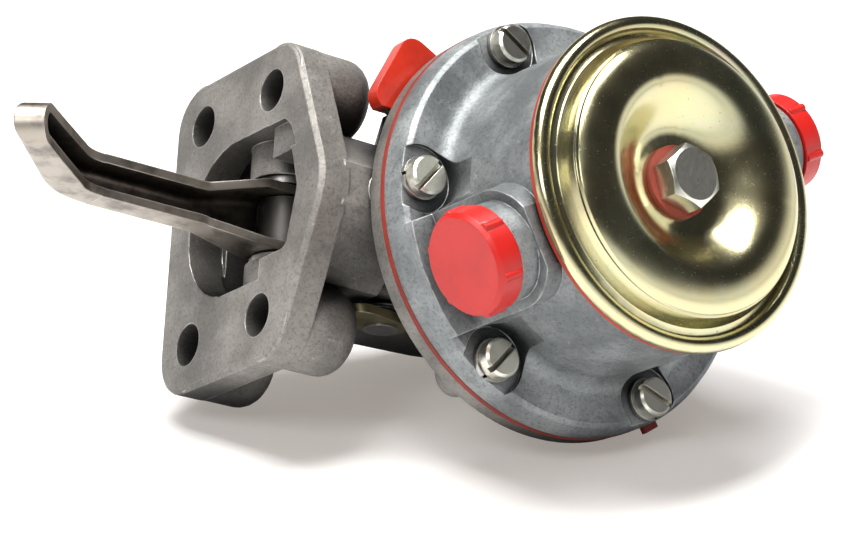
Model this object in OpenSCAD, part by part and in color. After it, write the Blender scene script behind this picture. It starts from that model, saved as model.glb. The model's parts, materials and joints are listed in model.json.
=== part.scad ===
// Mechanical diaphragm fuel pump with a four-bolt mounting flange, a cam-driven rocker arm,
// a hand primer, a filter chamber under a domed cover and two capped ports.
//
// Frame: the origin is the centre of the four mounting holes, on the mounting face (x = 0).
// The pump stands along +X behind that face, and +Z is the pump axis, towards the domed cover.
// Y is the long way of the mounting flange, and the rocker arm reaches out along -X.

/* [Pump axis] */
// Distance from the mounting face to the pump axis
axis_x = 53; // [52:0.5:54]
// Height of the diaphragm above the centre of the mounting holes
diaphragm_z = 38; // [38:0.1:38.5]

/* [Mounting flange] */
// Thickness of the mounting plate
plate_t = 6.5; // [6:0.5:8]
// Half of the plate's long side
plate_half = 33; // [32.5:0.5:34]
// Height of the plate's lower edge
plate_low = -24; // [-25:0.5:-24]
// Height of the plate's upper corners
plate_high = 23.4; // [23:0.2:24]
// Height of the bulge in the middle of the plate's upper edge
plate_peak = 33.4; // [32.4:0.5:33.9]
// Radius of the plate's corners
corner_r = 9; // [8:0.5:10]
// Spacing of the mounting holes along Y
hole_gap_y = 46.7; // [46:0.1:47]
// Spacing of the mounting holes along Z
hole_gap_z = 26.1; // [26:0.1:26.5]
// Radius of the mounting holes, for a 5/16 inch stud
hole_r = 4.35; // [4.2:0.05:4.5]
// Length of the bolt bosses behind the mounting face
boss_len = 18.5; // [17:0.5:19]

/* [Diaphragm joint] */
// Radius of the two flanges that clamp the diaphragm
flange_r = 42; // [41.8:0.1:42.2]
// Thickness of the diaphragm
diaphragm_t = 1.2; // [1.1:0.1:1.3]
// Thickness of the lower flange
low_flange_t = 4; // [3.5:0.5:4.5]
// Height of the upper flange's face above the diaphragm
top_flange_h = 6.2; // [6:0.1:6.4]
// Radius of the circle of body screws
screw_circle_r = 37.2; // [37:0.1:37.4]
// Radius of a body screw's head
screw_head_r = 3.9; // [3.7:0.1:4.1]
// Radius of a body screw's shank
screw_r = 2.4; // [2.3:0.1:2.4]

/* [Turret and ports] */
// Radius of the turret that carries the cover
turret_r = 31.4; // [31:0.1:31.6]
// Height of the turret's rim above the diaphragm
turret_h = 34.2; // [34:0.1:34.4]
// Height of the port axis above the diaphragm
port_h = 23.5; // [23:0.1:24]
// Radius of the tapped port
port_r = 6; // [5.8:0.1:6.2]
// Direction of the inlet port about the pump axis
inlet_angle = 210; // [210]
// Direction of the outlet port about the pump axis
outlet_angle = 30; // [30]
// Radius of the red caps over the ports
cap_r = 10.1; // [9.9:0.1:10.3]

/* [Cover] */
// Outer radius of the cover's rolled rim
cover_r = 33; // [32.8:0.1:33.2]
// Height of the dome's crest above the diaphragm
crest_h = 43; // [42.5:0.1:43.3]
// Height of the dimple that the bolt clamps, above the diaphragm
dimple_h = 36.7; // [36.5:0.1:37]
// Thickness of the cover's sheet
cover_t = 0.9; // [0.8:0.1:1]
// Width of the bolt's hexagon across its flats
hex_af = 11.1; // [11:0.1:11.2]

/* [Rocker arm] */
// Distance from the mounting face to the pivot pin
pin_x = 11.5; // [11.3:0.1:11.7]
// Height of the pivot pin
pin_z = 2.5; // [2.4:0.1:2.6]
// Radius of the pivot pin
pin_r = 4; // [3.9:0.1:4]
// Thickness of the arm's sheet
arm_t = 1.8; // [1.6:0.1:1.9]
// Width of the arm's narrow part
arm_w = 8.6; // [8.4:0.1:8.8]
// Width of the arm's fork
fork_w = 14; // [13.8:0.1:14.2]
// Angle by which the arm's end turns up
arm_bend = 50; // [48:1:52]

/* [Primer] */
// Distance from the mounting face to the primer's shaft
primer_x = 30; // [29.8:0.1:30.2]
// Height of the primer's shaft
primer_z = 11; // [10.9:0.1:11.1]
// Radius of the primer's shaft
primer_r = 3.5; // [3.4:0.1:3.5]

/* [Hidden] */

$fn = 64;
// A small overlap that keeps cuts clean
e = 0.02;
casting = [0.56, 0.59, 0.62];
warm_casting = [0.55, 0.53, 0.50];
steel = [0.62, 0.62, 0.60];
zinc = [0.80, 0.79, 0.70];
yellow_zinc = [0.72, 0.66, 0.36];
cap_red = [0.88, 0.12, 0.10];
rubber_black = [0.08, 0.08, 0.08];

screw_angles = [0, 60, 120, 180, 240, 300];
// Direction of each screw's slot, in the same order
slot_angles = [12, 74, -31, 52, 50, -19];

dz = diaphragm_z;
membrane_low = dz - diaphragm_t / 2;
membrane_high = dz + diaphragm_t / 2;
flange_low = membrane_low - low_flange_t;
flange_top = dz + top_flange_h;
seat_z = flange_top - 0.9;
washer_t = 1.1;
head_h = 2.9;
turret_top = dz + turret_h;
gasket_t = 1.2;
cover_low = turret_top + gasket_t;
port_z = dz + port_h;
valve_offset = 15.5;
deck_z = dz + 14;
chamber_r = 27.5;
boss_face = 43.4;
// Where the caps start, and the radius of the boss inside them
cap_low = 39.3;
boss_tip_r = 8.6;

tunnel_half = 11;
tunnel_wall = 3.5;
tunnel_floor = -14;
tunnel_roof = 15.5;
rod_floor = -12.8;
bowl_floor = 20;
fork_inner = fork_w / 2 - arm_t;

// Points of an arc in the plane, from one angle to another
function arc(c, r, from, to, n) =
    [for (i = [0:n]) let (a = from + (to - from) * i / n) [c[0] + r * cos(a), c[1] + r * sin(a)]];

// Smooth step from 0 to 1
function ease(u) = u <= 0 ? 0 : u >= 1 ? 1 : u * u * (3 - 2 * u);

// Outline of a rectangle with round corners, from its low and high corners
function round_box(low, high, r, n = 6) = concat(
    arc([high[0] - r, high[1] - r], r, 0, 90, n),
    arc([low[0] + r, high[1] - r], r, 90, 180, n),
    arc([low[0] + r, low[1] + r], r, 180, 270, n),
    arc([high[0] - r, low[1] + r], r, 270, 360, n));

// Triangles of a skin over rings of points that turn anticlockwise about the way they run
function skin_faces(rings, sides) = concat(
    [[for (j = [0:sides - 1]) j]],
    [for (i = [0:rings - 2], j = [0:sides - 1])
        [i * sides + j, (i + 1) * sides + j, (i + 1) * sides + (j + 1) % sides]],
    [for (i = [0:rings - 2], j = [0:sides - 1])
        [i * sides + j, (i + 1) * sides + (j + 1) % sides, i * sides + (j + 1) % sides]],
    [[for (j = [sides - 1:-1:0]) (rings - 1) * sides + j]]);

// Draws a (y, z) outline on the plane x and carries it along +X
module along_x(x, length) {
    translate([x, 0, 0])
        rotate([90, 0, 90])
            linear_extrude(length)
                children();
}

// Draws an (x, z) outline centred on a plane of constant Y
module across_y(y, width) {
    translate([0, y + width / 2, 0])
        rotate([90, 0, 0])
            linear_extrude(width)
                children();
}

// Places its children on the pump axis
module on_axis() {
    translate([axis_x, 0, 0])
        children();
}

// Places its children so that +Z points out of a port, with the pump axis at the origin
module out_of_port(angle) {
    translate([axis_x, 0, port_z])
        rotate([0, 0, angle])
            rotate([0, 90, 0])
                children();
}

// Places its children on each body screw's axis
module at_screws() {
    on_axis()
        for (a = screw_angles)
            rotate([0, 0, a])
                translate([screw_circle_r, 0, 0])
                    children();
}

// Places its children on each mounting hole's axis, with +Z pointing along +X
module at_mounting_holes() {
    for (y = [-1, 1], z = [-1, 1])
        translate([0, y * hole_gap_y / 2, z * hole_gap_z / 2])
            rotate([0, 90, 0])
                children();
}

// A helical spring that stands on z = 0, with closed turns at both ends
module coil_spring(r, wire, turns, length, steps = 16, sides = 6) {
    count = turns * steps;
    dead = 0.9 * steps;
    wire_d = 2 * wire * 1.02;
    pitch_gain = (length - 2 * wire - wire_d * 2 * dead / steps) / (count - 2 * dead);
    function rise(i) = i < dead ? wire_d * i / steps
        : i > count - dead ? length - 2 * wire - wire_d * (count - i) / steps
        : wire_d * dead / steps + pitch_gain * (i - dead);
    points = [for (i = [0:count], j = [0:sides - 1])
        let (a = 360 * i / steps, b = 360 * j / sides, q = r + wire * cos(b))
            [q * cos(a), q * sin(a), wire + rise(i) - wire * sin(b)]];
    polyhedron(points, skin_faces(count + 1, sides), convexity = 8);
}

// Outline of the mounting plate, drawn in by an inset all round
function plate_outline(inset) =
    let (cy = plate_half - corner_r, hi = plate_high - corner_r, lo = plate_low + corner_r,
         peak_r = 12, peak_z = plate_peak - peak_r, r = corner_r - inset, pr = peak_r - inset,
         lean = atan2(peak_z - hi, -cy) - acos((corner_r - peak_r) / norm([cy, peak_z - hi])))
    concat(
        arc([cy, hi], r, 0, lean, 6),
        arc([0, peak_z], pr, lean, 180 - lean, 6),
        arc([-cy, hi], r, 180 - lean, 180, 6),
        arc([-cy, lo], r, 180, 270, 8),
        arc([cy, lo], r, 270, 360, 8));

// Mounting plate with a chamfered face
module plate() {
    chamfer = 0.9;
    hull() {
        along_x(0, e)
            polygon(plate_outline(chamfer));
        along_x(chamfer, plate_t - chamfer)
            polygon(plate_outline(0));
    }
}

// Bolt boss with a rounded end
module bolt_boss(y, z) {
    end_r = 4.5;
    translate([0.5, y, z])
        rotate([0, 90, 0])
            rotate_extrude()
                polygon(concat(
                    [[0, 0], [corner_r - 0.15, 0]],
                    arc([corner_r - end_r - 0.15, boss_len - 0.5 - end_r], end_r, 0, 90, 6),
                    [[0, boss_len - 0.5]]));
}

// Tunnel that holds the levers, from the plate to below the pump axis
module tunnel() {
    half = tunnel_half + tunnel_wall;
    wide = [[-19.5, -20.5], [19.5, 15.6]];
    narrow = [[-half, -19], [half, 19]];
    along_x(plate_t - 1, 15 - plate_t)
        polygon(round_box(wide[0], wide[1], 4));
    hull() {
        along_x(14 - e, e)
            polygon(round_box(wide[0], wide[1], 4));
        along_x(18, e)
            polygon(round_box(narrow[0], narrow[1], 4));
    }
    hull() {
        along_x(18, e)
            polygon(round_box(narrow[0], narrow[1], 4));
        on_axis()
            translate([0, 0, -16])
                cylinder(r1 = half - 3, r2 = half, h = 4, $fn = 32);
        on_axis()
            translate([0, 0, -12])
                cylinder(r = half, h = 30, $fn = 32);
    }
    // Ridge that runs from the plate's bulge under the diaphragm flange
    along_x(plate_t - 1, 18)
        polygon([[-15.5, 10], [-15.5, 19], [-4.2, 33], [4.2, 33], [15.5, 19], [15.5, 10]]);
}

// Bowl under the diaphragm
module bowl() {
    on_axis()
        rotate_extrude($fn = 96)
            polygon(concat(
                [[0, 15]],
                arc([23.5, 19.5], 4.5, 270, 350, 5),
                [[30.6, flange_low - 3], [33.2, flange_low]],
                arc([flange_r - 0.8, flange_low + 0.8], 0.8, 270, 360, 3),
                [[flange_r, membrane_low], [0, membrane_low]]));
}

// Space that the levers work in, open at the mounting face
module lever_space() {
    // Mouth with a round lower end
    along_x(-1, 9)
        polygon(concat(
            [[16, 12.6], [16, 2]],
            arc([0, 0.5], 16.2, -8, -172, 14),
            [[-16, 2], [-16, 12.6]]));
    // Narrower upper part between the two pin bosses
    along_x(-1, 21)
        polygon(concat(
            [[-11.8, 12], [9.5, 12]],
            arc([7, 20], 2.5, 0, 60, 3),
            arc([0, 21.2], 3.5, 75, 105, 3),
            arc([-9.3, 20], 2.5, 120, 180, 3)));
    // Shallow step beside it
    along_x(-1, 2.6)
        polygon([[9, 11], [15.8, 11], [15.8, 18.6], [13.6, 21.4], [9, 23.4]]);
    // Tunnel to the pump axis
    along_x(7, 25)
        polygon(round_box([-tunnel_half, tunnel_floor], [tunnel_half, tunnel_roof], 2));
    along_x(31, axis_x - 31)
        polygon(round_box([-tunnel_half, rod_floor], [tunnel_half, tunnel_roof], 2));
    along_x(7, 6.5)
        polygon(round_box([-15.8, tunnel_floor], [15.8, 12.6], 4));
    on_axis()
        translate([0, 0, rod_floor])
            cylinder(r = tunnel_half, h = tunnel_roof - rod_floor);
}

module lower_body() {
    color(warm_casting)
    difference() {
        union() {
            plate();
            for (side = [-1, 1]) {
                bolt_boss(side * (plate_half - corner_r), plate_high - corner_r);
                bolt_boss(side * (plate_half - corner_r), plate_low + corner_r);
            }
            tunnel();
            bowl();
            // Bosses round the ends of the pivot pin
            translate([pin_x, 0, pin_z])
                rotate([90, 0, 0])
                    cylinder(r = 6.8, h = 39.8, center = true);
            // Lugs under the flange for the body screws
            at_screws()
                translate([0, 0, flange_low - 3])
                    cylinder(r1 = 4.2, r2 = 4.8, h = 4, $fn = 32);
        }
        difference() {
            lever_space();
            // Bosses that carry the pivot pin inside the mouth
            for (side = [-1, 1])
                translate([pin_x, side * 12.9, pin_z])
                    rotate([90, 0, 0])
                        cylinder(r = 7.6, h = 8.2, center = true);
        }
        // Inside of the bowl
        on_axis()
            rotate_extrude($fn = 96)
                polygon([[0, bowl_floor], [24, bowl_floor], [26, bowl_floor + 2],
                         [28.6, flange_low], [31, dz - 2], [31, dz + 1], [0, dz + 1]]);
        // Guide for the pull rod, with a pocket for its seal
        on_axis() {
            translate([0, 0, tunnel_roof - 1])
                cylinder(r = 4.2, h = 8);
            translate([0, 0, tunnel_roof + 1.7])
                cylinder(r = 7.5, h = 8);
        }
        at_mounting_holes()
            translate([0, 0, -1])
                cylinder(r = hole_r, h = boss_len + 2);
        at_screws()
            translate([0, 0, flange_low - 4])
                cylinder(r = screw_r, h = low_flange_t + 5, $fn = 32);
        // Bore for the pivot pin and for the plug at each of its ends
        translate([pin_x, 0, pin_z])
            rotate([90, 0, 0])
                cylinder(r = pin_r, h = 44, center = true);
        // Bearings for the primer's shaft
        translate([primer_x, 0, primer_z])
            rotate([90, 0, 0])
                cylinder(r = primer_r + 0.05, h = 44, center = true);
        // Vent from the dry side of the diaphragm
        on_axis()
            rotate([0, 0, 330])
                translate([24, 0, 27])
                    rotate([0, 90, 0])
                        cylinder(r = 1.2, h = 10, $fn = 24);
    }
}

// Block under a port, with an arched top, that runs down to the flange
module port_block(angle) {
    arch_r = 11.6;
    intersection() {
        union() {
            out_of_port(angle)
                translate([0, 0, 20]) {
                    cylinder(r = arch_r, h = 14.6);
                    translate([0, -arch_r, 0])
                        cube([turret_h, 2 * arch_r, 14.6]);
                }
            // Raised pad on the flange below the block
            out_of_port(angle)
                translate([port_h - top_flange_h - 1.8, -arch_r, 20])
                    cube([12, 2 * arch_r, 30]);
        }
        on_axis()
            translate([0, 0, membrane_high])
                cylinder(r = flange_r - 0.6, h = turret_top - 0.7 - membrane_high);
    }
    // Round boss, with a narrower end for the cap
    out_of_port(angle)
        rotate_extrude()
            polygon([[0, 20], [9.6, 20], [9.6, cap_low - 0.4], [boss_tip_r, cap_low - 0.4],
                     [boss_tip_r, boss_face - 0.5], [boss_tip_r - 0.5, boss_face], [0, boss_face]]);
}

module upper_body() {
    color(casting)
    difference() {
        union() {
            // Flange and turret in one turned form
            on_axis()
                rotate_extrude($fn = 96)
                    polygon(concat(
                        [[0, membrane_high], [flange_r, membrane_high], [flange_r, membrane_high + 2.8]],
                        [[flange_r - 0.9, flange_top - 0.7], [flange_r - 1.8, flange_top]],
                        arc([turret_r + 4, flange_top + 3.7], 3.7, 270, 180, 6),
                        [[turret_r, turret_top - 0.6], [turret_r - 0.5, turret_top], [0, turret_top]]));
            port_block(inlet_angle);
            port_block(outlet_angle);
        }
        // Spot faces and clearance holes for the body screws
        at_screws() {
            translate([0, 0, seat_z])
                cylinder(r = 6.8, h = 9);
            translate([0, 0, dz])
                cylinder(r = screw_r + 0.2, h = 12, $fn = 32);
        }
        // Filter chamber round the centre post and the outlet tower
        difference() {
            on_axis() {
                translate([0, 0, deck_z])
                    cylinder(r = chamber_r, h = turret_h);
                translate([0, 0, turret_top - 3])
                    cylinder(r = chamber_r + 1.6, h = 4);
            }
            on_axis()
                cylinder(r1 = 7, r2 = 6.2, h = dimple_h + dz - cover_t);
            outlet_tower(10.5, port_z + 6.8, port_r + 1.6);
        }
        // Outlet passage inside its tower
        on_axis()
            rotate([0, 0, outlet_angle])
                translate([valve_offset, 0, dz + 3])
                    cylinder(r = 7.5, h = port_z + 4 - dz - 3);
        out_of_port(outlet_angle) {
            translate([0, 0, valve_offset - 2])
                cylinder(r = port_r + 0.4, h = 36.8 - valve_offset);
            translate([0, 0, 34])
                cylinder(r = port_r, h = 16);
        }
        // Inlet passage and the seat of the inlet valve
        out_of_port(inlet_angle)
            translate([0, 0, 22])
                cylinder(r = port_r, h = 30);
        on_axis()
            rotate([0, 0, inlet_angle])
                translate([valve_offset, 0, dz + 3])
                    cylinder(r = 7.5, h = 12);
        // Dished pump chamber above the diaphragm
        on_axis()
            rotate_extrude()
                polygon([[0, dz], [31, dz], [31, dz + 2], [26, dz + 5.2], [7, dz + 6.8], [0, dz + 6.8]]);
        // Tapped hole for the cover's bolt
        on_axis()
            translate([0, 0, dz + 17])
                cylinder(r = 3.1, h = 40);
    }
}

// Tower that keeps the outlet passage apart from the filter chamber
module outlet_tower(r, top, passage_r) {
    on_axis()
        rotate([0, 0, outlet_angle])
            translate([valve_offset, 0, dz])
                cylinder(r = r, h = top - dz);
    out_of_port(outlet_angle)
        translate([0, 0, valve_offset - 1])
            cylinder(r = passage_r, h = 17);
}

module diaphragm() {
    tab_angle = -56;
    color([0.55, 0.12, 0.08])
    difference() {
        on_axis() {
            translate([0, 0, membrane_low])
                cylinder(r = flange_r + 0.1, h = diaphragm_t, $fn = 96);
            rotate([0, 0, tab_angle])
                translate([flange_r - 2, -1.8, membrane_low])
                    cube([3.6, 3.6, diaphragm_t]);
        }
        on_axis()
            translate([0, 0, membrane_low - 1])
                cylinder(r = 3.1, h = 4);
        at_screws()
            translate([0, 0, membrane_low - 1])
                cylinder(r = screw_r, h = 4, $fn = 32);
    }
}

// Outer line of the cover from the rim to the bolt hole, as radius and height
function cover_line(inset) =
    let (rim_c = [cover_r - 1.7, cover_low + 0.58], crest = dz + crest_h - inset, dip = dz + dimple_h - inset)
    concat(
        arc(rim_c, 1.7 - inset, -20, 170, 9),
        [[29.4 - inset * 0.3, cover_low + 0.9 - inset], [28.4 - inset * 0.6, cover_low + 1.5 - inset]],
        [for (i = [0:3]) let (u = i / 3) [27.9 - 0.8 * u - inset, cover_low + 2.4 + 2.6 * u - inset * u * 0.3]],
        [for (i = [0:6]) let (a = 90 * i / 6) [20 + (6.8 - inset) * cos(a), crest - 2.5 + 2.5 * sin(a)]],
        [for (i = [1:10]) let (u = i / 10) [20 - 11 * u, crest - (crest - dip) * ease(u)]],
        [[3.4, dip]]);

module top_cover() {
    outer = cover_line(0);
    inner = cover_line(cover_t);
    count = len(inner);
    color(yellow_zinc)
    on_axis()
        rotate_extrude($fn = 96)
            polygon(concat(outer, [for (i = [count - 1:-1:0]) inner[i]]));
}

module cover_gasket() {
    color([0.75, 0.18, 0.12])
    on_axis()
        translate([0, 0, turret_top])
            difference() {
                cylinder(r = cover_r - 0.4, h = gasket_t, $fn = 96);
                translate([0, 0, -1])
                    cylinder(r = chamber_r + 1.6, h = gasket_t + 2, $fn = 96);
            }
}

module cover_bolt() {
    head = 5;
    washer = 1;
    head_low = dz + dimple_h + washer;
    corner_angle = 48;
    color(zinc)
    on_axis() {
        intersection() {
            translate([0, 0, head_low])
                rotate([0, 0, corner_angle])
                    cylinder(r = hex_af / 2 / cos(30), h = head, $fn = 6);
            translate([0, 0, head_low])
                rotate_extrude()
                    polygon([[0, 0], [hex_af / 2 + 0.9, 0], [hex_af / 2 + 0.9, head - 0.9],
                             [hex_af / 2 - 0.5, head], [0, head]]);
        }
        translate([0, 0, dz + 19])
            cylinder(r = 3.1, h = head_low - dz - 19 + e);
    }
}

module bolt_washer() {
    color([0.62, 0.20, 0.16])
    on_axis()
        translate([0, 0, dz + dimple_h])
            difference() {
                cylinder(r = 7.1, h = 1);
                translate([0, 0, -1])
                    cylinder(r = 3.1, h = 3);
            }
}

module body_screws() {
    head_low = seat_z + washer_t;
    shank_end = flange_low - 2.4;
    color(zinc)
    on_axis()
        for (i = [0:len(screw_angles) - 1])
            rotate([0, 0, screw_angles[i]])
                translate([screw_circle_r, 0, 0]) {
                    difference() {
                        translate([0, 0, head_low])
                            rotate_extrude($fn = 40)
                                polygon([[0, 0], [screw_head_r, 0], [screw_head_r, head_h - 0.5],
                                         [screw_head_r - 0.5, head_h], [0, head_h]]);
                        translate([0, 0, head_low + head_h - 1.3])
                            rotate([0, 0, slot_angles[i] - screw_angles[i]])
                                translate([-6, -0.55, 0])
                                    cube([12, 1.1, 3]);
                    }
                    translate([0, 0, shank_end])
                        cylinder(r = screw_r, h = head_low - shank_end + e, $fn = 32);
                }
}

module spring_washers() {
    split = 0.7;
    color(steel)
    at_screws()
        translate([0, 0, seat_z])
            difference() {
                cylinder(r = 4.3, h = washer_t, $fn = 40);
                translate([0, 0, -1])
                    cylinder(r = screw_r, h = 4, $fn = 32);
                translate([2, -split / 2, -1])
                    cube([4, split, 4]);
            }
}

module filter_gauze() {
    seat = turret_top - 3;
    color([0.70, 0.62, 0.40])
    on_axis()
        difference() {
            union() {
                translate([0, 0, seat])
                    cylinder(r = chamber_r + 1.4, h = 0.5);
                // Rolled brass edge
                translate([0, 0, seat])
                    difference() {
                        cylinder(r = chamber_r + 1.4, h = 1.4);
                        translate([0, 0, -1])
                            cylinder(r = chamber_r, h = 4);
                    }
                translate([0, 0, seat])
                    cylinder(r = 8, h = 1.2);
            }
            translate([0, 0, seat - 1])
                cylinder(r = 6.7, h = 4);
        }
}

// Centre of a valve's bore
module at_valve(angle) {
    on_axis()
        rotate([0, 0, angle])
            translate([valve_offset, 0, 0])
                children();
}

// Valve cage pressed into the deck: a ring with a seat, and a bridge that backs the spring
module valve_cage() {
    color([0.72, 0.60, 0.32])
    difference() {
        cylinder(r = 7.5, h = 6, $fn = 48);
        // Seat opening
        translate([0, 0, -1])
            cylinder(r = 4, h = 8, $fn = 40);
        translate([0, 0, 1.2])
            cylinder(r = 6.2, h = 3.8, $fn = 40);
        // Flow windows in the bridge
        for (a = [0:90:270])
            rotate([0, 0, a + 45])
                translate([5, 0, 3])
                    cylinder(r = 1.6, h = 5, $fn = 24);
    }
}

module valve_disc() {
    color(rubber_black)
    translate([0, 0, 1.2])
        cylinder(r = 5.4, h = 1, $fn = 40);
}

valve_low = dz + 7.4;

module inlet_valve_cage() {
    at_valve(inlet_angle)
        translate([0, 0, valve_low + 6])
            mirror([0, 0, 1])
                valve_cage();
}

module inlet_valve_disc() {
    at_valve(inlet_angle)
        translate([0, 0, valve_low + 6])
            mirror([0, 0, 1])
                valve_disc();
}

module inlet_valve_spring() {
    color(steel)
    at_valve(inlet_angle)
        translate([0, 0, valve_low + 1])
            coil_spring(4.7, 0.25, 3, 2.8, 14, 5);
}

module outlet_valve_cage() {
    at_valve(outlet_angle)
        translate([0, 0, valve_low])
            valve_cage();
}

module outlet_valve_disc() {
    at_valve(outlet_angle)
        translate([0, 0, valve_low])
            valve_disc();
}

module outlet_valve_spring() {
    color(steel)
    at_valve(outlet_angle)
        translate([0, 0, valve_low + 2.2])
            coil_spring(4.7, 0.25, 3, 2.8, 14, 5);
}

// Rod that the link pulls, with a head below the link's slot
module pull_rod() {
    color(steel)
    on_axis() {
        translate([0, 0, -4.2])
            cylinder(r = 3, h = dz + 4.2 + 4.4);
        translate([0, 0, -6.6])
            rotate_extrude()
                polygon([[0, 0], [4.6, 0], [5, 0.4], [5, 1.6], [3, 2.4], [0, 2.4]]);
    }
}

module upper_plate() {
    color(steel)
    on_axis()
        translate([0, 0, membrane_high])
            difference() {
                cylinder(r1 = 22, r2 = 21.2, h = 1.2);
                translate([0, 0, -1])
                    cylinder(r = 3, h = 4);
            }
}

module lower_plate() {
    color(steel)
    on_axis()
        difference() {
            union() {
                translate([0, 0, membrane_low - 1.2])
                    cylinder(r = 22, h = 1.2);
                // Cup that centres the spring
                translate([0, 0, membrane_low - 3])
                    difference() {
                        cylinder(r = 13.4, h = 2);
                        translate([0, 0, -1])
                            cylinder(r = 12.2, h = 3);
                    }
            }
            translate([0, 0, membrane_low - 4])
                cylinder(r = 3, h = 6);
        }
}

module rod_nut() {
    color(steel)
    on_axis()
        translate([0, 0, membrane_high + 1.2])
            difference() {
                cylinder(r = 5.8, h = 2.4, $fn = 6);
                translate([0, 0, -1])
                    cylinder(r = 3, h = 4);
            }
}

spring_low = bowl_floor;
spring_high = membrane_low - 1.2;

module diaphragm_spring() {
    color(steel)
    on_axis()
        translate([0, 0, spring_low])
            coil_spring(10.8, 1.1, 5, spring_high - spring_low, 20, 8);
}

module oil_seal() {
    color(rubber_black)
    on_axis()
        translate([0, 0, tunnel_roof + 1.7])
            difference() {
                cylinder(r = 7.5, h = 2.4);
                translate([0, 0, -1])
                    cylinder(r = 3.05, h = 5);
            }
}

module seal_retainer() {
    color(steel)
    on_axis()
        translate([0, 0, tunnel_roof + 4.1])
            difference() {
                union() {
                    cylinder(r = 7.5, h = 0.9);
                    cylinder(r = 6.4, h = 3);
                }
                translate([0, 0, -1])
                    cylinder(r = 3.4, h = 5);
            }
}

// The arm is a pressed trough: its web lies below, and its two walls stand up towards +Z
web_z = -3.8;
arm_inner_x = 25.5;
flare_from = 3.5;
flare_to = -7;
bend_x = -31;
bend_r = 16;
tip_len = 24.4;
fork_depth = 12.2;
arm_depth = 8.4;
// The arm is a little wider between the fork and the bend
shank_w = arm_w + 0.2;

// Section of the trough as (width, height above the web), drawn in by the sheet's thickness
function trough(width, depth, inset) =
    let (half = width / 2 - inset, r = 3 - inset * 0.8, top = depth + 3 + inset)
    concat(
        [[half, top]],
        arc([half - r, inset + r], r, 0, -90, 5),
        arc([-half + r, inset + r], r, -90, -180, 5),
        [[-half, top]]);

// Solid form of the arm: inset 0 is its outside, and the sheet's thickness gives its inside
module arm_form(inset) {
    reach = inset > 0 ? 1 : 0;
    translate([0, 0, web_z]) {
        along_x(flare_from + 0.5, arm_inner_x - flare_from - 0.5 + reach)
            polygon(trough(fork_w, fork_depth, inset));
        hull() {
            along_x(flare_from, 1)
                polygon(trough(fork_w, fork_depth, inset));
            along_x(flare_to - 1, 1)
                polygon(trough(shank_w, arm_depth, inset));
        }
        along_x(bend_x, flare_to - 0.5 - bend_x)
            polygon(trough(shank_w, arm_depth, inset));
        translate([bend_x, 0, bend_r]) {
            rotate([90, 0, 0])
                rotate([0, 0, -90 - arm_bend])
                    rotate_extrude(angle = arm_bend, $fn = 96)
                        polygon([for (q = trough(arm_w, arm_depth, inset)) [bend_r - q[1], q[0]]]);
            rotate([0, arm_bend, 0])
                translate([0, 0, -bend_r])
                    arm_tip(inset);
        }
    }
}

// Point of the arm's straight end in the (x, z) plane, from its distance past the bend and its
// height above the web
function at_tip(u, height) =
    let (h = height - bend_r)
    [bend_x + u * cos(arm_bend) + h * sin(arm_bend), web_z + bend_r - u * sin(arm_bend) + h * cos(arm_bend)];

// Straight end of the arm, closed by a round nose
module arm_tip(inset) {
    taper = 0.3;
    half = arm_w / 2 - inset;
    nose_x = -tip_len + arm_w / 2 - taper;
    intersection() {
        along_x(-tip_len, tip_len)
            polygon(trough(arm_w, arm_depth, inset));
        translate([0, 0, -1])
            linear_extrude(arm_depth + 6)
                polygon(concat([[1, -half], [1, half]], arc([nose_x, 0], half - taper, 90, 270, 20)));
    }
}

module rocker_arm() {
    color([0.50, 0.48, 0.45])
    difference() {
        union() {
            difference() {
                arm_form(0);
                arm_form(arm_t);
                // Top line of the walls, from the fork to the nose
                across_y(0, 20)
                    polygon(concat(
                        [[arm_inner_x + 1, web_z + fork_depth], [flare_from, web_z + fork_depth]],
                        [[flare_to, web_z + arm_depth]],
                        arc([bend_x, web_z + bend_r], bend_r - arm_depth, -90, -90 - arm_bend, 12),
                        [at_tip(-12, 7), at_tip(-tip_len - 1, 5.6), at_tip(-tip_len - 1, 14)],
                        [[arm_inner_x + 1, web_z + 40]]));
            }
            // Tab folded across the inner end, which bears on the link
            translate([arm_inner_x - 3.6, -fork_w / 2 + 0.4, web_z + fork_depth - 0.6])
                cube([3.6, fork_w - 0.8, arm_t]);
        }
        // Window in the web, which the link's eye turns in
        translate([7.4, -fork_inner, web_z - 1])
            cube([8.2, 2 * fork_inner, arm_t + 2]);
        translate([pin_x, 0, pin_z])
            rotate([90, 0, 0])
                cylinder(r = pin_r + 0.05, h = 30, center = true);
    }
}

module rocker_spring() {
    color(steel)
    translate([20.3, 0, tunnel_floor])
        coil_spring(3.9, 0.7, 5, web_z - tunnel_floor, 16, 6);
}

// Lever that the arm turns and that pulls the rod down
module link_lever() {
    eye_r = 5.4;
    slot_half = 3.5;
    rod_gap_x = axis_x + 1;
    color([0.45, 0.44, 0.42])
    difference() {
        union() {
            translate([pin_x, 0, pin_z])
                rotate([90, 0, 0])
                    cylinder(r = eye_r, h = 2 * fork_inner - 0.6, center = true);
            across_y(0, 2 * fork_inner - 0.6)
                polygon([[pin_x + 1, -0.9], [27, -0.9], [27, 5.6], [pin_x, 7.4]]);
            across_y(0, 13)
                polygon([[26, -0.9], [axis_x + 6.5, -3.2], [axis_x + 6.5, 0.6], [46, 3.2], [26, 5.4]]);
        }
        translate([pin_x, 0, pin_z])
            rotate([90, 0, 0])
                cylinder(r = pin_r + 0.05, h = 30, center = true);
        // Slot that is open at the end, for the rod
        translate([rod_gap_x - 4.6, -slot_half, -10])
            cube([20, 2 * slot_half, 20]);
        // Recess on top that saves weight and faces the primer's flat
        translate([primer_x, 0, primer_z])
            rotate([90, 0, 0])
                cylinder(r = 6.4, h = 30, center = true);
    }
}

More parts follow.
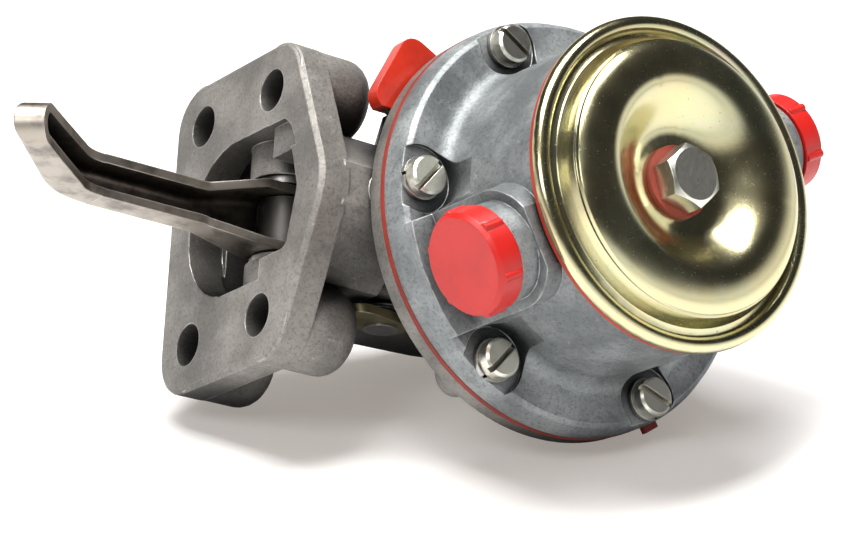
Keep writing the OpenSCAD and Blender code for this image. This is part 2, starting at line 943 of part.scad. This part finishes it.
module pivot_pin() {
    color(steel)
    translate([pin_x, 0, pin_z])
        rotate([90, 0, 0])
            cylinder(r = pin_r, h = 35, center = true);
}

module pivot_washers() {
    color(steel)
    for (side = [-1, 1])
        translate([pin_x, side * 8, pin_z])
            rotate([90, 0, 0])
                difference() {
                    cylinder(r = 6.8, h = 1.4, center = true);
                    cylinder(r = pin_r, h = 3, center = true);
                }
}

module pin_plugs() {
    color(steel)
    for (side = [-1, 1])
        translate([pin_x, side * 18.5, pin_z])
            rotate([90, 0, 0])
                cylinder(r = pin_r, h = 2, center = true);
}

tail_y = -17.9;
lever_y = 17;
strip_t = 1.8;

// Shaft with a flat that clears the link until it is turned
module primer_shaft() {
    color(steel)
    difference() {
        translate([primer_x, (lever_y + tail_y) / 2, primer_z])
            rotate([90, 0, 0])
                cylinder(r = primer_r, h = lever_y - tail_y + strip_t + 1.2, center = true);
        translate([primer_x - 6, -8, primer_z - primer_r - 1])
            cube([12, 16, 2.6]);
    }
}

// Outline of the paddle, seen from above
function paddle(grow) =
    let (c = [20, 24.8], a = 64, hw = 4.6 + grow, hl = 8.2 + grow, r = 2.8 + grow)
    [for (p = round_box([-hl, -hw], [hl, hw], r)) [
        c[0] + p[0] * cos(a) - p[1] * sin(a),
        c[1] + p[0] * sin(a) + p[1] * cos(a)]];

paddle_z = 29.7;

module primer_lever() {
    color([0.32, 0.32, 0.30])
    difference() {
        union() {
            // Leg beside the body, from the shaft up to the paddle
            across_y(lever_y, strip_t)
                polygon(concat(
                    arc([primer_x, primer_z], 5, -110, 100, 9),
                    [[21, paddle_z - 1], [21, paddle_z + 1.6], [17.2, paddle_z + 1.6], [17.2, paddle_z - 2.5]]));
            // Paddle bent over square to the leg
            translate([0, 0, paddle_z])
                linear_extrude(1.6)
                    polygon(paddle(0));
        }
        translate([primer_x, 0, primer_z])
            rotate([90, 0, 0])
                cylinder(r = primer_r, h = 60, center = true);
    }
}

module primer_pad() {
    color([0.80, 0.16, 0.08])
    difference() {
        translate([0, 0, paddle_z - 0.8])
            linear_extrude(3.2)
                polygon(paddle(0.8));
        translate([0, 0, paddle_z])
            linear_extrude(1.6)
                polygon(paddle(0));
        // Mouth where the leg leaves the sleeve
        translate([12, 10, paddle_z - 2])
            cube([14, 8, 6]);
    }
}

module primer_tail() {
    color([0.50, 0.46, 0.30])
    difference() {
        across_y(tail_y, strip_t)
            polygon(concat(
                arc([primer_x, primer_z], 5.2, -90, 90, 8),
                arc([23.4, 14], 3.4, 90, 240, 6)));
        translate([primer_x, 0, primer_z])
            rotate([90, 0, 0])
                cylinder(r = primer_r, h = 60, center = true);
    }
}

module primer_spring() {
    gap = 0.05;
    room = -tail_y - strip_t / 2 - tunnel_half - tunnel_wall - 2 * gap;
    color(steel)
    translate([primer_x, -tunnel_half - tunnel_wall - gap, primer_z])
        rotate([90, 0, 0])
            coil_spring(4.3, 0.35, 2.5, room, 16, 6);
}

// Cap pushed over a port's boss, with grip ribs
module port_cap() {
    color(cap_red)
    rotate_extrude()
        polygon([[boss_tip_r + 0.06, cap_low], [cap_r, cap_low], [cap_r - 0.2, cap_low + 4.6],
                 [cap_r - 0.9, cap_low + 5.5], [0, cap_low + 5.5], [0, boss_face + 0.1],
                 [boss_tip_r + 0.06, boss_face + 0.1]]);
    color(cap_red)
    for (a = [30:60:330])
        rotate([0, 0, a])
            translate([cap_r - 0.5, 0, cap_low + 0.3])
                cylinder(r = 0.9, h = 4.3, $fn = 16);
}

module inlet_cap() {
    out_of_port(inlet_angle)
        port_cap();
}

module outlet_cap() {
    out_of_port(outlet_angle)
        port_cap();
}

lower_body();
upper_body();
diaphragm();
top_cover();
cover_gasket();
cover_bolt();
bolt_washer();
body_screws();
spring_washers();
filter_gauze();
inlet_valve_cage();
inlet_valve_disc();
inlet_valve_spring();
outlet_valve_cage();
outlet_valve_disc();
outlet_valve_spring();
pull_rod();
upper_plate();
lower_plate();
rod_nut();
diaphragm_spring();
oil_seal();
seal_retainer();
rocker_arm();
rocker_spring();
link_lever();
pivot_pin();
pivot_washers();
pin_plugs();
primer_shaft();
primer_lever();
primer_pad();
primer_tail();
primer_spring();
inlet_cap();
outlet_cap();
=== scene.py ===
"""Looks of the mechanical fuel pump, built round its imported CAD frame.

Every CAD node keeps its shape and gets a procedural finish here. The scene adds the floor that the
pump lies on, the lamps and the camera. Lengths are in metres, in the frame of the part: -X is the
way the rocker arm reaches, and +Z is the pump axis towards the domed cover. Colours are linear RGB.
"""

import json
import math

import bpy
import numpy as np
from mathutils import Matrix, Vector

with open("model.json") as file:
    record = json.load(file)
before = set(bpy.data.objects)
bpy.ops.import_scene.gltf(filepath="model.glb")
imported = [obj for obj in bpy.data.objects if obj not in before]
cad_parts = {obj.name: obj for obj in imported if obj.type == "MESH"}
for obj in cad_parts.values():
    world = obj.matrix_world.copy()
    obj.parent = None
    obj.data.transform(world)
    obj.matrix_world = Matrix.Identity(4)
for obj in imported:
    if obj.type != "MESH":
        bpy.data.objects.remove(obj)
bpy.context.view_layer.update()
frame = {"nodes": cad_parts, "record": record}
nodes = frame["nodes"]

MM = 0.001

# ---------------------------------------------------------------- photograph
# The camera was solved from the circles of the pump and the pattern of its mounting holes.
IMAGE_WIDTH = 851
FOCAL_PIXELS = 3126.7
SENSOR_WIDTH = 36.0
NEAREST_SEEN = 0.02
FARTHEST_SEEN = 20.0
CAMERA_PLACE = Vector((-0.29445, -0.20772, 0.50637))
CAMERA_RIGHT = Vector((0.819, 0.046, 0.5719)).normalized()
CAMERA_FORWARD = Vector((0.5298, 0.3221, -0.7846)).normalized()
# Up in the room where the photograph was taken: the pump lies on its side
ROOM_UP = Vector((-0.39, 0.78, 0.49)).normalized()


# ---------------------------------------------------------------- node trees
BEVEL_SAMPLES = 6
# How far a bevelled normal leans from the true one where wear starts, and where it is full
WORN_EDGE_STEP = (0.02, 0.30)


class Tree:
    """A short way to write a material's or a world's nodes."""

    def __init__(self, owner):
        owner.use_nodes = True
        self.nodes = owner.node_tree.nodes
        self.links = owner.node_tree.links
        self.nodes.clear()

    def add(self, kind, inputs=(), **settings):
        node = self.nodes.new("ShaderNode" + kind)
        for name, value in settings.items():
            setattr(node, name, value)
        for name, value in dict(inputs).items():
            self.put(node.inputs[name], value)
        return node

    def put(self, socket, value):
        """Links a socket to the input, or sets the input to a number or colour."""
        if isinstance(value, bpy.types.NodeSocket):
            self.links.new(value, socket)
        elif isinstance(value, (tuple, list)) and len(value) == 3 and socket.type == "RGBA":
            socket.default_value = (*value, 1.0)
        else:
            socket.default_value = value

    def math(self, operation, *values):
        node = self.add("Math", operation=operation)
        for index, value in enumerate(values):
            self.put(node.inputs[index], value)
        return node.outputs[0]

    def mix(self, factor, a, b):
        node = self.add("Mix", data_type="RGBA", clamp_factor=True)
        factor_input, color_a, color_b = node.inputs[0], node.inputs[6], node.inputs[7]
        self.put(factor_input, factor)
        self.put(color_a, a)
        self.put(color_b, b)
        return node.outputs[2]

    def cover(self, color, over, mask, share):
        """Lays a share of a second colour over the first where the mask is 1."""
        return self.mix(self.math("MULTIPLY", mask, share), color, over)

    def blend_shaders(self, factor, a, b):
        node = self.add("MixShader", {0: factor})
        self.links.new(a, node.inputs[1])
        self.links.new(b, node.inputs[2])
        return node.outputs[0]

    def ramp(self, value, low, high):
        """A smooth step of value from low to high."""
        limits = {"Value": value, "From Min": low, "From Max": high}
        return self.add("MapRange", limits, interpolation_type="SMOOTHSTEP").outputs[0]

    def place(self):
        return self.add("TexCoord").outputs["Object"]

    def noise(self, scale, detail=4.0, roughness=0.55, distortion=0.0):
        """Cloudy noise with about scale patches to the metre."""
        inputs = {"Vector": self.place(), "Scale": scale, "Detail": detail}
        inputs.update({"Roughness": roughness, "Distortion": distortion})
        return self.add("TexNoise", inputs).outputs[0]

    def edges(self, radius):
        """1 on the worn edges of a form and 0 on its faces."""
        bevel = self.add("Bevel", {"Radius": radius}, samples=BEVEL_SAMPLES).outputs[0]
        normal = self.add("NewGeometry").outputs["Normal"]
        both = {0: bevel, 1: normal}
        alike = self.add("VectorMath", both, operation="DOT_PRODUCT").outputs["Value"]
        return self.ramp(self.math("SUBTRACT", 1.0, alike), *WORN_EDGE_STEP)

    def corners(self, reach, low, high, samples=4):
        """1 deep in the corners of a form and 0 on its open faces."""
        openness = self.add("AmbientOcclusion", {"Distance": reach}, samples=samples).outputs["AO"]
        return self.ramp(self.math("SUBTRACT", 1.0, openness), low, high)

    def bump(self, layers, bevel_radius=0.0):
        """A normal from (height, strength, distance) layers, over edges softened by a bevel."""
        normal = None
        if bevel_radius:
            bevel = self.add("Bevel", {"Radius": bevel_radius}, samples=BEVEL_SAMPLES)
            normal = bevel.outputs[0]
        for height, strength, distance in layers:
            inputs = {"Height": height, "Strength": strength, "Distance": distance}
            if normal is not None:
                inputs["Normal"] = normal
            normal = self.add("Bump", inputs).outputs[0]
        return normal

    def finish(self, **inputs):
        """A principled shader on the material's output; Base_Color stands for Base Color."""
        named = {key.replace("_", " "): value for key, value in inputs.items()}
        shader = self.add("BsdfPrincipled", named)
        self.links.new(shader.outputs[0], self.add("OutputMaterial").inputs[0])


# ---------------------------------------------------------------- finishes
MATERIALS = {}


def material(name):
    """Returns a new, empty material's tree."""
    made = bpy.data.materials.new(name)
    MATERIALS[name] = made
    return Tree(made)


def darker(color, share):
    """The colour with only a share of its light."""
    return tuple(value * share for value in color)


def cast_metal(name, dark, light, edge, grain, metallic, shade_reach):
    """Matt die casting: mottled, fine grained, worn bright on its edges, with painted shade in its
    corners.
    """
    t = material(name)
    patches = t.noise(70, 5, 0.6)
    fine = t.noise(900, 3, 0.7)
    pores = t.noise(2600, 2, 0.6)
    specks = t.ramp(t.noise(420, 5, 0.75), 0.60, 0.74)
    sand = t.ramp(t.noise(1500, 3, 0.7), 0.50, 0.66)
    glints = t.ramp(t.noise(620, 4, 0.7, distortion=0.5), 0.62, 0.76)
    painted_shade = t.corners(shade_reach, 0.30, 0.74, samples=6)
    rubbed = t.ramp(t.noise(260), 0.36, 0.58)
    worn = t.math("MULTIPLY", t.edges(0.5 * MM), rubbed)

    color = t.mix(t.ramp(patches, 0.35, 0.68), dark, light)
    color = t.cover(color, darker(dark, 0.45), t.ramp(fine, 0.4, 0.75), 0.22)
    color = t.cover(color, darker(dark, 0.30), specks, 0.45)
    color = t.cover(color, darker(dark, 0.35), sand, 0.40)
    color = t.cover(color, edge, glints, 0.35)
    # Painted shade: near black deep in the corners and hollows
    color = t.cover(color, darker(dark, 0.08), painted_shade, 0.96)
    color = t.cover(color, edge, worn, 0.85)

    matt = t.math("MULTIPLY_ADD", patches, 0.25, 0.42)
    rough = t.math("SUBTRACT", matt, t.math("MULTIPLY", worn, 0.22))
    layers = [(patches, 0.25, 0.35 * MM), (fine, grain, 0.17 * MM), (pores, grain, 0.06 * MM)]
    normal = t.bump(layers, 0.45 * MM)
    t.finish(Base_Color=color, Metallic=metallic, Roughness=rough, Normal=normal)


# Soft brown stain where a bare metal's own isn't given; half as bright, it paints shade in the
# corners
STAIN_AND_SHADE_TINT = (0.05, 0.045, 0.04)
RUBBED_STEEL = (0.80, 0.77, 0.72)


def bare_metal(name, color, rough, stain=0.5, tint=STAIN_AND_SHADE_TINT, scratch=0.3, metallic=1.0,
               wear=0.0, bevel=0.2 * MM, shade_reach=3 * MM):
    """Plated or bare steel and brass: small stains, fine drag marks and softened edges."""
    t = material(name)
    cloud = t.noise(180, 5, 0.6)
    marks = t.noise(1500, 3, 0.6, distortion=0.6)
    shade = t.cover(color, tint, t.ramp(cloud, 0.42, 0.75), stain)
    # Painted shade: half the tint, deep in the corners and recesses
    shade = t.cover(shade, darker(tint, 0.5), t.corners(shade_reach, 0.2, 0.8), 0.9)
    if wear:
        shade = t.cover(shade, RUBBED_STEEL, t.edges(0.4 * MM), wear)
    roughness = t.math("MULTIPLY_ADD", marks, 0.22, rough - 0.08)
    normal = t.bump([(marks, scratch, 0.03 * MM), (cloud, 0.15, 0.15 * MM)], bevel)
    t.finish(Base_Color=shade, Metallic=metallic, Roughness=roughness, Normal=normal)


def polymer(name, color, deep, rough, coat=0.0, grain=0.15):
    """Rubber, fibre, dipped vinyl and moulded plastic."""
    t = material(name)
    cloud = t.noise(120, 4, 0.6)
    fine = t.noise(1400, 3, 0.6)
    shade = t.cover(color, deep, t.ramp(cloud, 0.35, 0.75), 0.5)
    # Painted shade: the deep colour laid into the corners and recesses
    shade = t.cover(shade, deep, t.corners(2.5 * MM, 0.3, 1.0), 0.7)
    roughness = t.math("MULTIPLY_ADD", fine, 0.2, rough - 0.08)
    normal = t.bump([(fine, grain, 0.04 * MM), (cloud, 0.2, 0.25 * MM)], 0.35 * MM)
    t.finish(Base_Color=shade, Metallic=0.0, Roughness=roughness, Normal=normal,
             Coat_Weight=coat, Coat_Roughness=0.12)


def yellow_zinc():
    """Glossy yellow passivated zinc with faint pink and green films and tiny pits."""
    straw = (0.74, 0.665, 0.39)
    green_film = (0.66, 0.655, 0.42)
    pink_film = (0.80, 0.60, 0.52)
    pit = (0.20, 0.17, 0.06)
    painted_shade = (0.05, 0.045, 0.01)
    t = material("yellow_zinc")
    film = t.noise(55, 4, 0.55, distortion=0.8)
    pits = t.noise(1900, 2, 0.5)
    wave = t.noise(140, 3, 0.5)
    grain = t.noise(3200, 2, 0.6)
    spots = t.ramp(pits, 0.66, 0.78)

    color = t.mix(t.ramp(film, 0.35, 0.65), straw, green_film)
    color = t.cover(color, pink_film, t.ramp(film, 0.60, 0.74), 0.7)
    color = t.cover(color, pit, spots, 0.5)
    # Painted shade: dark brown in the corners and recesses
    color = t.cover(color, painted_shade, t.corners(2 * MM, 0.35, 1.0), 0.7)

    waxy = t.math("MULTIPLY_ADD", wave, 0.16, 0.13)
    rough = t.math("ADD", waxy, t.math("MULTIPLY", spots, 0.15))
    layers = [(wave, 0.10, 0.25 * MM), (pits, 0.14, 0.03 * MM), (grain, 0.16, 0.02 * MM)]
    normal = t.bump(layers, 0.25 * MM)
    t.finish(Base_Color=color, Metallic=1.0, Roughness=rough, Normal=normal)


def woven_gauze():
    """Woven brass wire, drawn by two crossed waves."""
    gap = (0.04, 0.03, 0.015)
    wire = (0.70, 0.56, 0.28)
    t = material("gauze")
    bands = []
    for direction in ("X", "Y"):
        inputs = {"Vector": t.place(), "Scale": 700.0}
        wave = t.add("TexWave", inputs, wave_type="BANDS", bands_direction=direction)
        bands.append(wave.outputs[1])
    weave = t.math("MAXIMUM", *bands)
    color = t.mix(t.ramp(weave, 0.3, 0.8), gap, wire)
    normal = t.bump([(weave, 0.8, 0.12 * MM)])
    t.finish(Base_Color=color, Metallic=1.0, Roughness=0.38, Normal=normal)


# Each finish is named after the material slot that wears it in the part's record
# The reach of a finish is how far its painted corner shade spreads
cast_metal("cast_lower", dark=(0.19, 0.178, 0.163), light=(0.35, 0.330, 0.305),
           edge=(0.76, 0.74, 0.70), grain=0.7, metallic=0.5, shade_reach=20 * MM)
cast_metal("cast_upper", dark=(0.21, 0.226, 0.230), light=(0.42, 0.442, 0.446),
           edge=(0.82, 0.84, 0.84), grain=0.8, metallic=0.6, shade_reach=10 * MM)
yellow_zinc()
woven_gauze()
bare_metal("bright_zinc", (0.86, 0.84, 0.74), rough=0.30, stain=0.35, tint=(0.28, 0.24, 0.14),
           wear=0.5)
bare_metal("plain_steel", (0.56, 0.55, 0.53), rough=0.30, stain=0.4)
bare_metal("spring_steel", (0.42, 0.41, 0.40), rough=0.34)
bare_metal("valve_brass", (0.70, 0.55, 0.27), rough=0.32, stain=0.3, tint=(0.2, 0.12, 0.04))
bare_metal("arm_steel", (0.43, 0.385, 0.335), rough=0.38, stain=0.75, tint=(0.06, 0.05, 0.04),
           scratch=0.5, wear=0.8, bevel=0.35 * MM, shade_reach=9 * MM)
bare_metal("dark_steel", (0.085, 0.08, 0.075), rough=0.42, stain=0.6, tint=(0.02, 0.018, 0.016),
           wear=0.35, metallic=0.85, shade_reach=9 * MM)
bare_metal("olive_zinc", (0.36, 0.32, 0.18), rough=0.40, tint=(0.10, 0.09, 0.05), wear=0.5)
polymer("membrane", (0.30, 0.030, 0.018), deep=(0.10, 0.012, 0.008), rough=0.6)
polymer("gasket", (0.50, 0.045, 0.020), deep=(0.22, 0.015, 0.008), rough=0.5)
polymer("fibre", (0.36, 0.060, 0.035), deep=(0.16, 0.022, 0.015), rough=0.55)
polymer("black_rubber", (0.018, 0.018, 0.018), deep=(0.008, 0.008, 0.008), rough=0.55)
polymer("red_dip", (0.62, 0.030, 0.010), deep=(0.24, 0.012, 0.006), rough=0.36, coat=0.4,
        grain=0.3)
polymer("red_cap", (0.62, 0.012, 0.008), deep=(0.42, 0.008, 0.006), rough=0.42, coat=0.2,
        grain=0.1)

for part in frame["record"]["subparts"]:
    mesh = nodes[part["node"]].data
    mesh.materials.clear()
    mesh.materials.append(MATERIALS[part["material_slot"]])

# ---------------------------------------------------------------- shading of curved forms
SMOOTH_DEGREES = 28
# A spring's skin turns sharply round its thin wire
SPRING_DEGREES = 70
# Corners nearer than this are one point
SAME_POINT = 1e-6
# Keeps a normal of no length from being divided by nothing
LEAST_LENGTH = 1e-9


def smooth_shading(mesh, degrees):
    """Gives corners that share a point one normal where their faces meet at a small angle."""
    places = np.zeros(len(mesh.vertices) * 3, np.float32)
    mesh.vertices.foreach_get("co", places)
    corner_vertex = np.zeros(len(mesh.loops), np.int32)
    mesh.loops.foreach_get("vertex_index", corner_vertex)
    normals = np.zeros(len(mesh.loops) * 3, np.float32)
    mesh.corner_normals.foreach_get("vector", normals)
    normals = normals.reshape(-1, 3)
    points = np.round(places.reshape(-1, 3) / SAME_POINT).astype(np.int64)
    point_of_vertex = np.unique(points, axis=0, return_inverse=True)[1].reshape(-1)
    point_of_corner = point_of_vertex[corner_vertex]
    # One group of corners for each point
    order = np.argsort(point_of_corner, kind="stable")
    starts = np.flatnonzero(np.diff(point_of_corner[order], prepend=-1))
    limit = math.cos(math.radians(degrees))
    made = normals.copy()
    for group in np.split(order, starts[1:]):
        own = normals[group]
        near = (own @ own.T > limit).astype(np.float32)
        made[group] = near @ own
    made /= np.maximum(np.linalg.norm(made, axis=1, keepdims=True), LEAST_LENGTH)
    mesh.normals_split_custom_set(made.tolist())


for node_name, node in nodes.items():
    is_spring = node_name.endswith("_spring")
    smooth_shading(node.data, SPRING_DEGREES if is_spring else SMOOTH_DEGREES)

# ---------------------------------------------------------------- floor
PUMP_MIDDLE = Vector((0.03, 0, 0.03))
FLOOR_RADIUS = 1.1
FLOOR_SIDES = 96
FLOOR_GAP = 0.2 * MM
PAPER = (0.80, 0.80, 0.80)
# Light that the camera sees added to the paper, which is as white in the photograph
FLOOR_GLOW = (0.30, 0.272, 0.245)


def facing(direction):
    """A turn that points a thing's own Z along a direction."""
    return direction.to_track_quat("Z", "Y").to_matrix().to_4x4()


def lowest_along(direction):
    """How far the CAD pieces reach against a direction."""
    return min(direction.dot(corner.co) for node in nodes.values() for corner in node.data.vertices)


def floor_paper():
    """White paper that glows for the camera and is clear to it from below."""
    t = material("floor")
    path = t.add("LightPath")
    paper = t.add("BsdfDiffuse", {"Color": PAPER}).outputs[0]
    glow = t.add("Emission", {"Color": FLOOR_GLOW, "Strength": 1.0}).outputs[0]
    lit = t.add("AddShader")
    t.links.new(paper, lit.inputs[0])
    t.links.new(glow, lit.inputs[1])
    seen = t.blend_shaders(path.outputs["Is Camera Ray"], paper, lit.outputs[0])
    clear = t.add("BsdfTransparent").outputs[0]
    underside = t.add("NewGeometry").outputs["Backfacing"]
    from_below = t.math("MULTIPLY", underside, path.outputs["Is Camera Ray"])
    whole = t.blend_shaders(from_below, seen, clear)
    t.links.new(whole, t.add("OutputMaterial").inputs[0])


def make_floor():
    """The floor under the pump as it lies in the photograph."""
    bpy.ops.mesh.primitive_circle_add(vertices=FLOOR_SIDES, radius=FLOOR_RADIUS, fill_type="NGON")
    floor = bpy.context.object
    floor.name = "floor"
    drop = lowest_along(ROOM_UP) - FLOOR_GAP - ROOM_UP.dot(PUMP_MIDDLE)
    floor.matrix_world = Matrix.Translation(PUMP_MIDDLE + ROOM_UP * drop) @ facing(ROOM_UP)
    floor_paper()
    floor.data.materials.append(MATERIALS["floor"])


make_floor()

# ---------------------------------------------------------------- light
WHITE = (1.0, 1.0, 1.0)
# Soft light on matt faces from the horizon and below, and from above
WASH_LOW = (0.36, 0.36, 0.36)
WASH_HIGH = (0.13, 0.13, 0.135)
# What shiny faces mirror above the white horizon
CEILING = (0.03, 0.03, 0.032)
# Heights at which the horizon's light starts and ends its fade, as the sine of the angle
WASH_FADE = (0.0, 0.5)
MIRROR_FADE = (0.02, 0.32)


def make_world():
    """White to the camera. To the pump it is a white horizon under a darker ceiling."""
    world = bpy.data.worlds.new("studio")
    bpy.context.scene.world = world
    t = Tree(world)
    way = t.add("TexCoord").outputs["Generated"]
    both = {0: way, 1: tuple(ROOM_UP)}
    height = t.add("VectorMath", both, operation="DOT_PRODUCT").outputs["Value"]
    path = t.add("LightPath")
    wash = t.mix(t.ramp(height, *WASH_FADE), WASH_LOW, WASH_HIGH)
    mirrored = t.mix(t.ramp(height, *MIRROR_FADE), WHITE, CEILING)
    room = t.mix(path.outputs["Is Glossy Ray"], wash, mirrored)
    color = t.mix(path.outputs["Is Camera Ray"], room, WHITE)
    back = t.add("Background", {"Color": color, "Strength": 1.0})
    t.links.new(back.outputs[0], t.add("OutputWorld").inputs[0])


def lamp(name, direction, distance, size, watts, color=WHITE):
    """A soft box that looks at the pump."""
    data = bpy.data.lights.new(name, "AREA")
    data.shape = "RECTANGLE"
    data.size, data.size_y = size
    data.energy = watts
    data.color = color
    box = bpy.data.objects.new(name, data)
    bpy.context.scene.collection.objects.link(box)
    way = Vector(direction).normalized()
    box.matrix_world = Matrix.Translation(PUMP_MIDDLE + way * distance) @ facing(way)


make_world()
lamp("key", direction=(-0.56, 0.74, 0.44), distance=0.9, size=(0.46, 0.46), watts=13.0,
     color=(1.0, 0.985, 0.96))
lamp("top", direction=(-0.12, 0.88, 0.42), distance=1.0, size=(0.34, 0.34), watts=5.0,
     color=(0.97, 0.985, 1.0))
lamp("side", direction=(-0.95, 0.05, 0.60), distance=1.0, size=(0.25, 0.45), watts=2.5)


# ---------------------------------------------------------------- camera
def make_camera():
    """The camera of the photograph."""
    data = bpy.data.cameras.new("camera")
    data.sensor_width = SENSOR_WIDTH
    data.lens = FOCAL_PIXELS * SENSOR_WIDTH / IMAGE_WIDTH
    data.clip_start = NEAREST_SEEN
    data.clip_end = FARTHEST_SEEN
    camera = bpy.data.objects.new("camera", data)
    bpy.context.scene.collection.objects.link(camera)
    along = CAMERA_FORWARD * CAMERA_RIGHT.dot(CAMERA_FORWARD)
    right = (CAMERA_RIGHT - along).normalized()
    up = right.cross(CAMERA_FORWARD)
    turn = Matrix((right, up, -CAMERA_FORWARD)).transposed().to_4x4()
    camera.matrix_world = Matrix.Translation(CAMERA_PLACE) @ turn
    bpy.context.scene.camera = camera


make_camera()
bpy.context.scene.view_settings.view_transform = "Standard"
